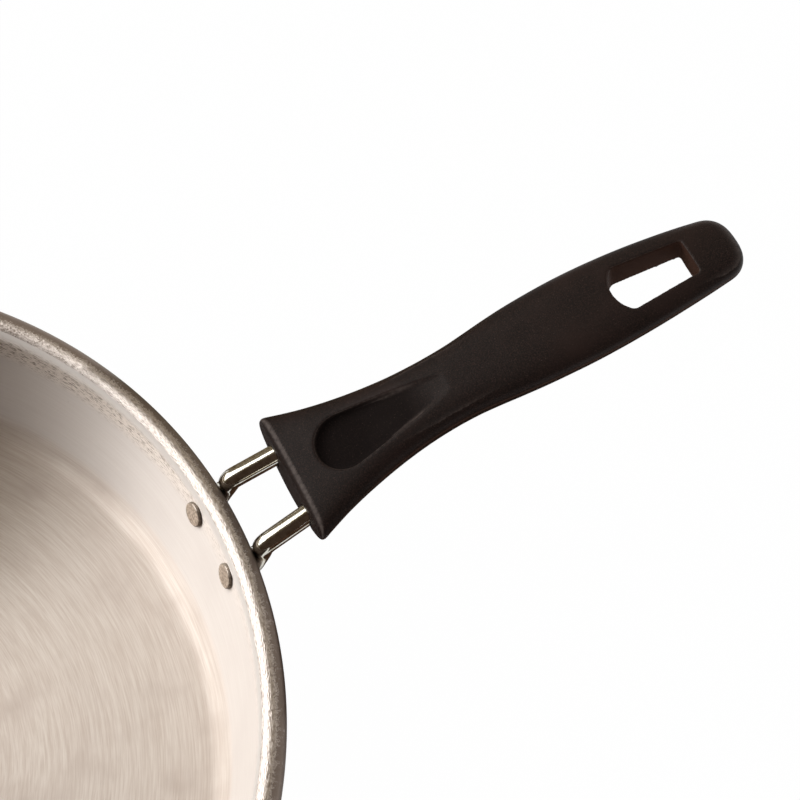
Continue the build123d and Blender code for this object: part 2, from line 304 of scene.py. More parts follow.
def make_rod(name, place):
    """Rings from the end inside the handle to the tip of the pad."""
    shift = -place.side * rod_inset
    entry, corner, along = rod_line(place)
    turn = (-along).angle(place.down)
    tangent = rod_bend_radius * math.tan(turn / 2)
    axis = (-along).cross(place.down).normalized()
    inward = axis.cross(-along)
    rings = []
    start = entry + along * rod_engagement
    bend_start = corner + along * tangent
    for step in range(13):
        centre = start.lerp(bend_start, step / 12)
        rings += [squared_ring(centre, axis, inward, rod_radius, rod_radius, 2.0, rod_sides)]
    bend_centre = bend_start + inward * rod_bend_radius
    for step in range(1, 15):
        spin = Matrix.Rotation(turn * step / 14, 3, axis)
        centre = bend_centre + spin @ (bend_start - bend_centre)
        rings += [squared_ring(centre, axis, spin @ inward, rod_radius, rod_radius, 2.0, rod_sides)]
    last_down = tangent - rod_bend_rise
    pad_tip = rivet_drop + pad_radius
    downs = [last_down + (pad_start - last_down) * step / 24 for step in range(1, 25)]
    downs += [pad_start + (rivet_drop - pad_start) * step / 4 for step in range(1, 5)]
    downs += [rivet_drop + pad_radius * math.sin(math.pi / 2 * step / 14) for step in range(1, 15)]
    for down in downs:
        inner, half, width, power = curve_through(forging, down)
        if down > rivet_drop:
            width = math.sqrt(max(0.01, pad_radius**2 - (down - rivet_drop) ** 2))
        share = min(1.0, max(0.0, (down - last_down) / slide_length))
        centre = place.point(down, inner + half, shift * (1 - share))
        rings += [squared_ring(centre, axis, place.down.cross(axis) * -1, width, half, power, rod_sides)]
    points = [p for ring in rings for p in ring]
    piece = mesh_object(name, points, ring_faces(len(rings), rod_sides, caps=True))
    print(name, "bend of", round(math.degrees(turn)), "degrees, pad tip", round(pad_tip, 1), "mm down")
    return piece


rods = {side: make_rod(f"rod_{side}_chromed", place) for side, place in places.items()}
for side, rod in rods.items():
    stands_for(rod, f"rod_{side}")

# %% [markdown]
# ## Rivets
# A flat-headed aluminium rivet holds each pad. The head is pressed flat inside the pan and
# the tail is a low dome outside.

# %% Turn each rivet
head_radius = 3.6
head_face = -1.58
head_top = -2.68
tail_face = 4.16
tail_top = 5.86
tail_radius = 3.8
shank_radius = 2.4
rivet_steps = 96
head_edge = 0.42
head_dish = 0.05


def rivet_outline():
    """Out along the rivet's axis, from the head's middle to the tail's middle."""
    outline = [(0.0, head_top + head_dish), (head_radius * 0.5, head_top + 0.6 * head_dish)]
    centre = (head_radius - head_edge, head_top + head_edge)
    for step in range(7):
        turn = math.pi / 2 * step / 6
        x, y = head_edge * math.sin(turn), head_edge * math.cos(turn)
        outline.append((centre[0] + x, centre[1] - y))
    outline += [(head_radius, head_face), (shank_radius, head_face), (shank_radius, tail_face)]
    outline.append((tail_radius, tail_face))
    for step in range(1, 9):
        share = step / 8
        outline.append((tail_radius * math.cos(math.pi / 2 * share),
                        tail_face + (tail_top - tail_face) * math.sin(math.pi / 2 * share) ** 0.8))
    return outline


def make_rivet(name, place):
    """The outline turned about the rivet's own axis, out of the wall."""
    outline = rivet_outline()
    piece = turned(name, outline, rivet_steps)
    turn = Matrix((place.across, -place.down, place.out)).transposed().to_4x4()
    turn.translation = place.point(rivet_drop, 0) * mm
    piece.data.transform(turn)
    piece.data.update()
    return piece


rivets = {side: make_rivet(f"rivet_{side}_pressed", place) for side, place in places.items()}
for side, rivet in rivets.items():
    stands_for(rivet, f"rivet_{side}")

# %% [markdown]
# ## Handle
# The handle is compression-moulded phenolic. Its body is lofted from rounded sections that
# follow an arched line: wide and flat-topped at the front, a narrow waist, a fuller belly
# and a rounded end. Cutters then take out the thumb recess, the hang hole, the bores and
# the clamp's pocket, and a fine remesh softens every edge as a mould does.

# %% Handle sections
chord_rise = math.radians(9.2)
handle_length = 140.0
arch_rise = 7.7
arch_span = 165.0
chord = Vector((math.cos(chord_rise), 0, math.sin(chord_rise)))
up = Vector((-math.sin(chord_rise), 0, math.cos(chord_rise)))
sideways = Vector((0, 1, 0))
chord_start = Vector((face_distance, 0, face_top))
# Along the handle: half width, thickness, and the power of the curve above and below
stations = (
    (-6.0, 22.85, 12.90, 3.40, 1.70),
    (0.0, 20.50, 13.40, 3.40, 1.70),
    (5.0, 18.55, 14.05, 3.29, 1.76),
    (10.0, 16.78, 14.60, 3.17, 1.83),
    (15.0, 15.30, 15.03, 3.06, 1.89),
    (20.0, 14.05, 15.20, 2.94, 1.96),
    (25.0, 13.00, 15.10, 2.83, 2.02),
    (30.0, 12.14, 14.80, 2.71, 2.09),
    (36.0, 11.37, 14.45, 2.60, 2.15),
    (42.0, 10.95, 14.20, 2.60, 2.15),
    (48.0, 10.83, 14.00, 2.60, 2.15),
    (54.0, 11.03, 13.88, 2.60, 2.15),
    (60.0, 11.62, 13.75, 2.60, 2.15),
    (66.0, 12.33, 13.62, 2.60, 2.15),
    (73.0, 13.00, 13.50, 2.60, 2.15),
    (80.0, 13.40, 13.40, 2.60, 2.15),
    (88.0, 13.66, 13.20, 2.60, 2.15),
    (96.0, 13.57, 12.85, 2.60, 2.15),
    (104.0, 13.20, 12.40, 2.60, 2.15),
    (112.0, 12.60, 11.90, 2.60, 2.15),
    (120.0, 11.77, 11.40, 2.60, 2.15),
    (127.0, 10.90, 10.95, 2.60, 2.15),
    (133.0, 9.98, 10.60, 2.60, 2.15),
    (140.0, 8.90, 10.30, 2.60, 2.15),
)
end_length = 7.4
end_power = 2.6
end_thinning = 3.4
end_roundness = 2.4
equator_share = 0.34
handle_sides = 96
front_edge = 1.7
upright_length = 22.0
ring_gap = 0.75


def crown(along):
    """Height of the handle's top over its chord."""
    return 4 * arch_rise * along / arch_span * (1 - along / arch_span)


def on_handle(along, side, height):
    """A point from its place along the chord, across it and above it."""
    return chord_start + chord * along + sideways * side + up * height


def section_point(along, side, inset):
    """Sideways place and height of one point of a section, its top on the arched line."""
    width, thickness, top_power, foot_power = curve_through(stations, along)
    end_share = max(0.0, (along - (handle_length - end_length)) / end_length)
    narrowing = max(0.0, 1 - end_share**end_power) ** (1 / end_power)
    thinning = max(0.0, 1 - end_share**end_thinning) ** (1 / end_roundness)
    turn = 2 * math.pi * side / handle_sides
    c, s = math.cos(turn), math.sin(turn)
    power = top_power if s > 0 else foot_power
    across = math.copysign(abs(c) ** (2 / power), c) * (width * max(narrowing, 0.02) - inset)
    reach = thickness * max(thinning, 0.03) * (equator_share if s > 0 else 1 - equator_share)
    rise = math.copysign(abs(s) ** (2 / power), s) * (reach - inset)
    return Vector((across, crown(along) - equator_share * thickness + rise))


def handle_ring(along, inset=0.0):
    """A section that stands upright at the front, square to the chord further on."""
    leaning = math.tan(chord_rise) * max(0.0, 1 - along / upright_length)
    ring = []
    for side in range(handle_sides):
        place = along + leaning * section_point(along, side, inset).y
        point = section_point(place, side, inset)
        ring.append(on_handle(along + leaning * point.y, point.x, point.y))
    return ring


# A quarter circle of rings rounds the front edge, then the rings follow the stations
rounding = [math.pi / 2 * step / 8 for step in range(8)]
rings = [
    handle_ring(front_edge * (1 - math.cos(turn)), front_edge * (1 - math.sin(turn)))
    for turn in rounding
]
body_end = handle_length - end_length
steps = round((body_end - front_edge) / ring_gap)
rings += [handle_ring(front_edge + (body_end - front_edge) * step / steps) for step in range(steps)]
end_steps = 28
for step in range(end_steps + 1):
    rings.append(handle_ring(body_end + end_length * math.sin(math.pi / 2 * step / end_steps)))
handle_points = [p for ring in rings for p in ring]
handle = mesh_object(
    "handle_moulded", handle_points, ring_faces(len(rings), handle_sides, caps=True)
)
print("handle", len(rings), "sections of", handle_sides, "points")

# %% [markdown]
# ## Cutters of the handle
# Each hollow is a solid of its own, made of rings of points from its bottom to above the
# surface, and is taken out of the handle with an exact boolean.


# %% Cutter helpers
def cutter_of(name, outlines):
    """A closed solid through outlines that all have the same number of points."""
    points = [p for outline in outlines for p in outline]
    return mesh_object(name, points, ring_faces(len(outlines), len(outlines[0]), caps=True))


def apply_modifiers(piece):
    """Turn what the modifiers make into the mesh itself."""
    shaped = piece.evaluated_get(bpy.context.evaluated_depsgraph_get())
    mesh = bpy.data.meshes.new_from_object(shaped)
    piece.modifiers.clear()
    piece.data = mesh


def take_out(body, cutter):
    """Cut one solid out of another and drop the cutter."""
    for solid in (body, cutter):
        work = bmesh.new()
        work.from_mesh(solid.data)
        bmesh.ops.recalc_face_normals(work, faces=work.faces)
        work.to_mesh(solid.data)
        work.free()
    cut = body.modifiers.new("cut", "BOOLEAN")
    cut.operation = "DIFFERENCE"
    cut.solver = "EXACT"
    cut.object = cutter
    apply_modifiers(body)
    bpy.data.objects.remove(cutter)


# %% [markdown]
# The thumb recess was formed by a raised pad in the upper half of the mould, so its sides lean
# out by a draft. A boolean with a solid of that shape gives the same crisp outline, which a
# sculpted dent would not.

# %% Thumb recess
# Deep and round towards the pan, it runs out to nothing at the waist
recess_start = 10.2
recess_end = 49.6
recess_depth = 3.0
recess_half = 8.4
recess_tail_half = 3.4
recess_corner = 1.3
draft = math.radians(14)
over = 5.0
foot = on_handle(recess_start, 0, crown(recess_start) - recess_depth)
toe = on_handle(recess_end, 0, crown(recess_end) - 0.1)
recess_line = (toe - foot).normalized()
recess_up = sideways.cross(recess_line) * -1
recess_run = (toe - foot).length


def recess_outline(level, inset):
    """A circle and a narrow tail joined by tangents, wider at each level by the draft."""
    grow = level * math.tan(draft) - inset
    middle = recess_half - recess_depth * math.tan(draft)
    radius = middle + grow
    tail = recess_tail_half + grow
    end = recess_run + grow
    lean = math.atan2(tail, end - middle) + math.acos(radius / math.hypot(end - middle, tail))
    flat = [(end, -tail), (end, tail)]
    for step in range(49):
        turn = lean + (2 * math.pi - 2 * lean) * step / 48
        flat.append((middle + radius * math.cos(turn), radius * math.sin(turn)))
    return [foot + recess_line * x + sideways * y + recess_up * level for x, y in flat]


levels = []
for step in range(6):
    turn = math.pi / 2 * step / 5
    levels.append((recess_corner * (1 - math.cos(turn)), recess_corner * (1 - math.sin(turn))))
levels.append((recess_depth + over, 0.0))
take_out(handle, cutter_of("recess_cutter", [recess_outline(*level) for level in levels]))
print("recess cut,", round(recess_run, 1), "mm long,", len(handle.data.polygons), "faces")

# %% [markdown]
# The hang hole goes straight through, because two cores of the mould met there. Its outline is
# drawn once as arcs and lines that touch, and pulled through the handle.

# %% Hang hole
# Square at the far end and bowed at the near end, where a round arc meets the straight sides
hang_start = 100.8
hang_end = 125.4
hang_half = 7.15
hang_end_half = 5.5
hang_bow = 3.4
shoulder_radius = 2.0
hang_corner_radius = 0.6
bow_radius = (hang_half**2 + hang_bow**2) / 2 / hang_bow


def arc_between(centre, first, last, steps):
    """Points on the arc about a centre from one point round to another."""
    a, b = Vector(first) - Vector(centre), Vector(last) - Vector(centre)
    start, sweep = math.atan2(a.y, a.x), b.angle_signed(a)
    turns = [start + sweep * step / steps for step in range(steps + 1)]
    return [(centre[0] + a.length * math.cos(t), centre[1] + a.length * math.sin(t)) for t in turns]


def half_hole():
    """The outline of one side, from the far end's middle to the bow's middle."""
    far = Vector((hang_end, hang_end_half))
    shoulder = Vector((hang_start + hang_bow, hang_half))
    side = (shoulder - far).normalized()
    inward = Vector((side.y, -side.x)) if side.y < 0 else Vector((-side.y, side.x))
    inward = inward if inward.y < 0 else -inward
    half = Vector((0, -1)).angle(side) / 2
    reach = hang_corner_radius / math.tan(half)
    low, high = far + Vector((0, -1)) * reach, far + side * reach
    outline = arc_between(high + inward * hang_corner_radius, low, high, 8)
    bow_middle = Vector((hang_start + bow_radius, 0))
    gap = far + inward * shoulder_radius - bow_middle
    along = gap.dot(side)
    run = -along + math.sqrt(along**2 - gap.length_squared + (bow_radius - shoulder_radius) ** 2)
    centre = far + side * run + inward * shoulder_radius
    onto_bow = bow_middle + (centre - bow_middle).normalized() * bow_radius
    outline += arc_between(centre, centre - inward * shoulder_radius, onto_bow, 10)
    return outline + arc_between(bow_middle, onto_bow, (hang_start, 0), 14)[1:]


def hang_outline(height):
    """The whole outline at one height over the chord."""
    one_side = half_hole()
    other_side = [(x, -y) for x, y in reversed(one_side[:-1])]
    return [on_handle(x, y, height) for x, y in one_side + other_side]


take_out(handle, cutter_of("hang_cutter", [hang_outline(-30), hang_outline(30)]))
print("hang hole cut,", len(handle.data.polygons), "faces")

# %% [markdown]
# The rods slide into two blind bores, and the clamp sits in a pocket that opens downwards. Both
# follow the CAD sizes, so that the rods and the clamp parts fit where they are.

# %% Rod bores and clamp pocket
bore_clearance = 0.1
screw_distance = 18.5
pocket_half_length = 5.6
pocket_half_width = 9.6
pocket_corner = 1.6
pocket_level = 1.0 - rod_radius + bore_clearance
rise = rod_line(places["left"])[2]
rod_rise = math.atan2(rise.z, rise.x)
rod_level = Vector((math.cos(rod_rise), 0, math.sin(rod_rise)))
rod_up = Vector((-math.sin(rod_rise), 0, math.cos(rod_rise)))
for place in places.values():
    entry, corner, along = rod_line(place)
    across = along.cross(rod_up).normalized()
    bore = rod_radius + bore_clearance
    ends = [
        squared_ring(entry + along * reach, across, along.cross(across), bore, bore, 2.0, 48)
        for reach in (-over, rod_engagement + bore_clearance)
    ]
    take_out(handle, cutter_of("bore_cutter", ends))


def pocket_outline(level):
    """A rectangle with round corners, at a level over the rods' own plane."""
    middle = Vector((face_distance, 0, rod_entry_height)) + rod_level * screw_distance
    flat = []
    for step in range(36):
        turn = 2 * math.pi * (step + 0.5) / 36
        c, s = math.cos(turn), math.sin(turn)
        x = math.copysign(pocket_half_length - pocket_corner, c) + pocket_corner * c
        y = math.copysign(pocket_half_width - pocket_corner, s) + pocket_corner * s
        flat.append(middle + rod_level * x + sideways * y + rod_up * level)
    return flat


take_out(handle, cutter_of("pocket_cutter", [pocket_outline(-18.5), pocket_outline(pocket_level)]))
print("bores and pocket cut,", len(handle.data.polygons), "faces")

# %% [markdown]
# ## Soft edges
# Moulded phenolic has no sharp edge, and years of hands round it further. A voxel remesh at
# a fraction of a millimetre, then a light smoothing, gives every edge of the handle about
# half a millimetre of radius in one step.

# %% Remesh the handle
voxel = 0.41
askew = Matrix.Rotation(math.radians(33), 4, "Y") @ Matrix.Rotation(math.radians(27), 4, "Z")
# Askew to the voxels, no edge steps slowly from one layer to the next
handle.data.transform(askew)
soften = handle.modifiers.new("soften", "REMESH")
soften.mode = "VOXEL"
soften.voxel_size = voxel * mm
apply_modifiers(handle)
relax = handle.modifiers.new("relax", "SMOOTH")
relax.factor = 0.5
relax.iterations = 10
apply_modifiers(handle)
handle.data.transform(askew.inverted())
handle.data.shade_smooth()
stands_for(handle, "handle")

# %% [markdown]
# The finish needs to know three places: how deep a point lies in the recess, whose floor is
# painted darker as shade, which edges are rubbed pale and carry a painted highlight, and where the two
# halves of the mould met, the hang hole's walls among them, painted paler brown as light. They could
# come from painted maps, but a map has its own size and seams. Here every point of the mesh
# stores them, worked out from where it lies and which way it faces.


# %% Depth, rubbed and highlighted edges, parting line and lit hole walls
def ridge(value, middle, reach):
    """A share that is 1 at the middle value and falls to 0 on both sides of it."""
    return max(0.0, 1 - abs(value - middle) / reach)


full_depth = 4.0
seam_half = 0.5
depths, edge_wear_and_highlights, partings_and_hole_light = [], [], []
for vertex in handle.data.vertices:
    place = vertex.co / mm - chord_start
    along = place.dot(chord)
    sunk = crown(along) - place.dot(up)
    thickness = curve_through(stations, along)[1]
    inside = recess_start - 1 < along < recess_end and abs(place.y) < recess_half + 0.4
    depths.append(min(sunk, full_depth) / full_depth if inside and sunk < 4.2 else 0.0)
    # An edge shows halfway between the two ways that its faces look; its pale line is partly rubbed wear
    # and partly a painted highlight, set where the light catches the rounding
    if place.x < front_edge + 0.4 and sunk < 4.0:
        facing = math.degrees(math.acos(max(-1.0, min(1.0, -vertex.normal.x))))
        edge_wear_and_highlight = ridge(facing, 60, 22)
    elif sunk < 1.6 and abs(place.y) < recess_half + 0.8:
        tilt = math.degrees(vertex.normal.angle(up))
        edge_wear_and_highlight = 0.55 * ridge(tilt, 38, 24)
    else:
        edge_wear_and_highlight = 0.0
    edge_wear_and_highlights.append(edge_wear_and_highlight)
    in_hole = hang_start - 1 < along < hang_end + 1 and abs(place.y) < hang_half + 0.6
    if in_hole:
        # Painted light: the hang hole's walls get the seam's paler brown, for the light that falls on
        # them
        parting_and_hole_light = 0.8 * (1 - abs(vertex.normal.dot(up)))
    elif abs(vertex.normal.y) > 0.5 and sunk > 1.6 and not inside:
        parting_and_hole_light = ridge(sunk, equator_share * thickness, seam_half)
    else:
        parting_and_hole_light = 0.0
    partings_and_hole_light.append(parting_and_hole_light)
for name, values in (("recess_depth", depths), ("rubbed", edge_wear_and_highlights), ("parting_and_hole_light", partings_and_hole_light)):
    layer = handle.data.attributes.new(name, "FLOAT", "POINT")
    layer.data.foreach_set("value", values)
    print(name, "on", sum(v > 0.2 for v in values), "of", len(values), "points")

# %% [markdown]
# ## Materials
# Colours are written as sRGB hex and turned to linear light. One helper plugs values, sockets
# or whole nodes into a node's inputs, and another adds a node that way. Patterns are laid out
# in millimetres, so each material first turns the piece's own coordinates into millimetres.


# %% Material helpers
def linear(hex_colour):
    """An sRGB hex colour as linear light."""
    parts = [int(hex_colour[i : i + 2], 16) / 255 for i in (1, 3, 5)]
    return [c / 12.92 if c <= 0.04045 else ((c + 0.055) / 1.055) ** 2.4 for c in parts] + [1.0]


def plug(tree, node, **inputs):
    """Fill a node's inputs, by name or number, with a value, a socket or a node's output."""
    for key, value in inputs.items():
        if key[1:].isdigit():
            socket = node.inputs[int(key[1:])]
        else:
            name = key.replace("_", " ")
            socket = next(s for s in node.inputs if s.enabled and s.name == name)
        if isinstance(value, bpy.types.Node):
            value = next(s for s in value.outputs if s.enabled)
        if isinstance(value, bpy.types.NodeSocket):
            tree.links.new(value, socket)
        else:
            socket.default_value = value


def add_node(tree, kind, settings=None, **inputs):
    """Add a shader node of a kind such as Mix or TexNoise, with its settings and inputs."""
    node = tree.nodes.new("ShaderNode" + kind)
    for key, value in (settings or {}).items():
        setattr(node, key, value)
    plug(tree, node, **inputs)
    return node


def new_material(name, **inputs):
    """A material, its node tree, its shader and the piece's coordinates in millimetres."""
    material = bpy.data.materials.new(name)
    material.use_nodes = True
    tree = material.node_tree
    shader = tree.nodes["Principled BSDF"]
    plug(tree, shader, **inputs)
    place = add_node(tree, "TexCoord").outputs["Object"]
    millimetres = add_node(
        tree, "VectorMath", {"operation": "SCALE"}, Vector=place, Scale=1 / mm
    )
    return material, tree, shader, millimetres


def wear(piece, *materials):
    """Give a piece its materials and no others."""
    piece.data.materials.clear()
    for material in materials:
        piece.data.materials.append(material)


soft_step = {"interpolation_type": "SMOOTHSTEP"}
colours = {"data_type": "RGBA"}
numbers = {"data_type": "FLOAT"}
times = {"operation": "MULTIPLY"}
times_plus = {"operation": "MULTIPLY_ADD"}


def blend(tree, first, second, pattern, start, end, most=1.0):
    """From one colour towards another as a pattern goes from its start value to its end value."""
    share = add_node(
        tree, "MapRange", soft_step, Value=pattern, From_Min=start, From_Max=end, To_Max=most
    )
    return add_node(tree, "Mix", colours, Factor=share, A=first, B=second)


def left_of_handle(tree, direction, start, end, low, high):
    """A share that grows from the handle's side of the pan round to the left."""
    facing = add_node(tree, "VectorMath", {"operation": "DOT_PRODUCT"}, i0=direction, i1=(0.34, 0.94, 0))
    return add_node(
        tree, "MapRange", soft_step, Value=facing, From_Min=start, From_Max=end, To_Min=low, To_Max=high
    )


# %% [markdown]
# ## Marks that run round the axis
# A lathe leaves grooves that run round the pan. Stretched noise can draw them: the pattern's
# place is the direction from the axis, scaled so that a mark has its length, and the way along
# the section, scaled so that a mark has its width. Rings from a wave texture would be too even.


# %% Grooves round the axis
def turned_marks(tree, millimetres, width, length, detail=2.0):
    """Noise in rings, and the direction, radius and height that it is made from."""
    flat = add_node(tree, "VectorMath", times, i0=millimetres, i1=(1, 1, 0))
    direction = add_node(tree, "VectorMath", {"operation": "NORMALIZE"}, i0=flat)
    radius = add_node(tree, "VectorMath", {"operation": "LENGTH"}, i0=flat)
    height = add_node(tree, "SeparateXYZ", Vector=millimetres).outputs["Z"]
    # Radius and height together grow steadily over the floor and up the side
    path = add_node(tree, "Math", {"operation": "ADD"}, i0=radius, i1=height)
    across = add_node(tree, "Math", {"operation": "DIVIDE"}, i0=path, i1=width)
    lift = add_node(tree, "CombineXYZ", Z=across)
    round_about = add_node(
        tree, "VectorMath", {"operation": "SCALE"}, i0=direction, Scale=rim_radius / length
    )
    place = add_node(tree, "VectorMath", {"operation": "ADD"}, i0=round_about, i1=lift)
    marks = add_node(tree, "TexNoise", Vector=place, Scale=1.0, Detail=detail, Roughness=0.6)
    return marks, direction, radius, height


# %% [markdown]
# ## Turned aluminium
# The inside of the pan was turned on a lathe and then washed and scoured for years. The
# grooves mirror light in a fan from the middle outwards, which an anisotropic shader gives when
# its tangent runs round the axis. The side is painted paler and greyer than the floor: painted light for
# the stronger light on the side, which washes its colour out.
# Below the bead the tool chattered, which left short flecks, most of them left of the handle.

# %% Turned aluminium, inside the pan
# Bare aluminium that has lost its polish: warm pale grey and satin, with a sheen that turns
turned_aluminium, tree, shader, millimetres = new_material(
    "turned_aluminium", Metallic=1.0, Anisotropic=1.0, Anisotropic_Rotation=0.25
)
# The lathe's feed is about 0.2 mm, drawn 0.4 mm wide so that it shows
feed, direction, radius, height = turned_marks(tree, millimetres, 0.4, 14.0, 3.0)
scour = turned_marks(tree, millimetres, 1.1, 30.0)[0]
cloud = add_node(tree, "TexNoise", Vector=millimetres, Scale=0.05, Detail=3.0)
soft_scour = add_node(tree, "Math", times, i0=scour, i1=0.35)
tone = add_node(tree, "Math", times_plus, i0=feed, i1=0.65, i2=soft_scour)
metal = blend(tree, linear("#dccfc5"), linear("#efe6de"), tone, 0.3, 0.7)
metal = blend(tree, metal, linear("#cfc1b8"), cloud, 0.45, 0.8, 0.7)
# Small brown spots of old food, half a millimetre wide and far apart
spots = add_node(tree, "TexVoronoi", Vector=millimetres, Scale=0.05)
metal = add_node(
    tree, "Mix", colours, A=metal, B=linear("#9a8474"),
    Factor=add_node(
        tree, "MapRange", soft_step, Value=spots, From_Min=0.01, From_Max=0.02,
        To_Min=0.5, To_Max=0.0,
    ),
)
up_side = add_node(tree, "MapRange", soft_step, Value=height, From_Min=4.0, From_Max=11.0)
# Painted light: the side is mixed towards a paler, greyer colour, for the stronger light on it
metal = add_node(
    tree, "Mix", colours, A=metal, B=linear("#e6e1de"),
    Factor=add_node(tree, "Math", times, i0=up_side, i1=0.75),
)

# %% Chatter below the bead
flecks = turned_marks(tree, millimetres, 0.4, 2.0, 2.0)[0]
below_bead = add_node(tree, "MapRange", soft_step, Value=height, From_Min=30.5, From_Max=35.5)
off_bead = add_node(
    tree, "MapRange", soft_step, Value=height, From_Min=41.0, From_Max=44.0,
    To_Min=1.0, To_Max=0.0,
)
left_share = left_of_handle(tree, direction, 0.15, 0.7, 0.25, 1.0)
band = add_node(tree, "Math", times, i0=below_bead, i1=off_bead)
band = add_node(tree, "Math", times, i0=band, i1=left_share)
fleck_share = add_node(
    tree, "Math", times, i0=band,
    i1=add_node(tree, "MapRange", soft_step, Value=flecks, From_Min=0.46, From_Max=0.7),
)
pale_share = add_node(tree, "Math", times, i0=band, i1=0.6)
metal = add_node(tree, "Mix", colours, Factor=pale_share, A=metal, B=linear("#fbf1e8"))
metal = add_node(tree, "Mix", colours, Factor=fleck_share, A=metal, B=linear("#97877a"))
print("chatter between 30 and 44 mm up")

# %% Sheen of the grooves
satin = add_node(
    tree, "MapRange", soft_step, Value=tone, From_Min=0.25, From_Max=0.75,
    To_Min=0.45, To_Max=0.41,
)
satin = add_node(tree, "Math", times_plus, i0=up_side, i1=0.12, i2=satin)
# Painted light: where the side runs into the bead its colour is lifted nearly white, to lighten the
# shade in the concave crease; the metal there is also rougher and less metallic, with a film of oxide
painted_crease_light = add_node(tree, "MapRange", soft_step, Value=height, From_Min=37.4, From_Max=38.8)
satin = add_node(tree, "Math", times_plus, i0=painted_crease_light, i1=0.2, i2=satin)
metal = add_node(
    tree, "Mix", colours, A=metal, B=linear("#fffaf4"),
    Factor=add_node(tree, "Math", times, i0=painted_crease_light, i1=0.3),
)
bare = add_node(tree, "Math", times_plus, i0=painted_crease_light, i1=-0.45, i2=1.0)
groove_depth = add_node(tree, "Math", times_plus, i0=fleck_share, i1=-2.0, i2=tone)
grooves = add_node(tree, "Bump", Strength=0.22, Distance=0.03 * mm, Height=groove_depth)
round_axis = add_node(tree, "Tangent", {"direction_type": "RADIAL", "axis": "Z"})
plug(
    tree, shader, Base_Color=metal, Metallic=bare, Roughness=satin, Normal=grooves,
    Tangent=round_axis,
)
print(turned_aluminium.name, len(tree.nodes), "nodes")

# %% [markdown]
# ## Worn rim
# The bead is where the pan knocks against taps and other pans. Its inner side is rubbed
# bright, and its outer side still has the rough cast skin with soot in its pits. The two could
# be painted apart by a mask, but the real change is gradual. So one noise draws the pits
# everywhere, and the further out a point lies, the more of them count as dark. That darkening is partly
# painted shade on the outer side, and the brown-black outermost edge and the darker bead left of the
# handle are painted shade.

# %% Cast and rubbed aluminium, the bead
# Bright, scratched metal towards the inside that turns to dark, speckled casting skin outside, darkened
# further with painted shade
rim_aluminium, tree, shader, millimetres = new_material("cast_rim_aluminium", Metallic=1.0)
streaks, direction, radius, height = turned_marks(tree, millimetres, 0.4, 1.3, 1.0)
pits = add_node(tree, "TexNoise", Vector=millimetres, Scale=2.1, Detail=3.0, Roughness=0.65)
mottle = add_node(tree, "TexNoise", Vector=millimetres, Scale=0.3, Detail=2.0)
outward = add_node(
    tree, "MapRange", soft_step, Value=radius, From_Min=135.6, From_Max=138.9
)
# Pits are about half a millimetre wide, and how far in they reach wanders along the rim
half_pits = add_node(tree, "Math", times, i0=pits, i1=0.55)
skin_and_shade = add_node(tree, "Math", times_plus, i0=streaks, i1=0.45, i2=half_pits)
# Further out the bead is darker: partly the rough cast skin, partly painted shade on its outer side
skin_and_shade = add_node(tree, "Math", times_plus, i0=outward, i1=0.36, i2=skin_and_shade)
skin_and_shade = add_node(tree, "Math", times_plus, i0=mottle, i1=0.16, i2=skin_and_shade)
# Painted shade: left of the handle, where the bead mirrors less of the softbox, it is drawn darker, with
# more of the dark skin
left_painted_shade = left_of_handle(tree, direction, 0.55, 0.98, 0.0, 0.26)
skin_and_shade = add_node(tree, "Math", {"operation": "ADD"}, i0=left_painted_shade, i1=skin_and_shade)
rubbed = blend(tree, linear("#c2b7b0"), linear("#f0e8e2"), streaks, 0.3, 0.6)
metal = blend(tree, rubbed, linear("#a0938a"), skin_and_shade, 0.74, 0.88)
# Painted shade: the bead's outermost edge, where it turns away, is darkened to brown-black
metal = blend(tree, metal, linear("#4a3d34"), radius, 139.1, 139.97, 0.65)
rim_rough = add_node(
    tree, "MapRange", soft_step, Value=skin_and_shade, From_Min=0.6, From_Max=0.95,
    To_Min=0.38, To_Max=0.6,
)
relief = add_node(tree, "Mix", numbers, Factor=outward, A=streaks, B=pits)
rough_skin = add_node(tree, "Bump", Strength=0.7, Distance=0.2 * mm, Height=relief)
plug(tree, shader, Base_Color=metal, Roughness=rim_rough, Normal=rough_skin)
print(rim_aluminium.name, len(tree.nodes), "nodes")

# %% [markdown]
# ## Outside of the pan
# The outside and the underside were only brushed after casting, and the fire has clouded them.
# The photo doesn't show them, so their finish follows what such pans have: wide soft rings,
# and brown clouds from large noise.

# %% Brushed cast aluminium
# Satin and even, a little darker than the turned inside
outer_aluminium, tree, shader, millimetres = new_material(
    "brushed_cast_aluminium", Metallic=1.0, Anisotropic=0.5, Anisotropic_Rotation=0.25
)
rings = turned_marks(tree, millimetres, 0.7, 60.0)[0]
soot = add_node(tree, "TexNoise", Vector=millimetres, Scale=0.022, Detail=5.0)
metal = blend(tree, linear("#c2b8b0"), linear("#d6cdc6"), rings, 0.3, 0.7)
metal = blend(tree, metal, linear("#8f7f73"), soot, 0.5, 0.85)
satin = add_node(
    tree, "MapRange", soft_step, Value=rings, From_Min=0.2, From_Max=0.8,
    To_Min=0.5, To_Max=0.4,
)
brushing = add_node(tree, "Bump", Strength=0.25, Distance=0.03 * mm, Height=rings)
round_axis = add_node(tree, "Tangent", {"direction_type": "RADIAL", "axis": "Z"})
plug(tree, shader, Base_Color=metal, Roughness=satin, Normal=brushing, Tangent=round_axis)
print(outer_aluminium.name, len(tree.nodes), "nodes")

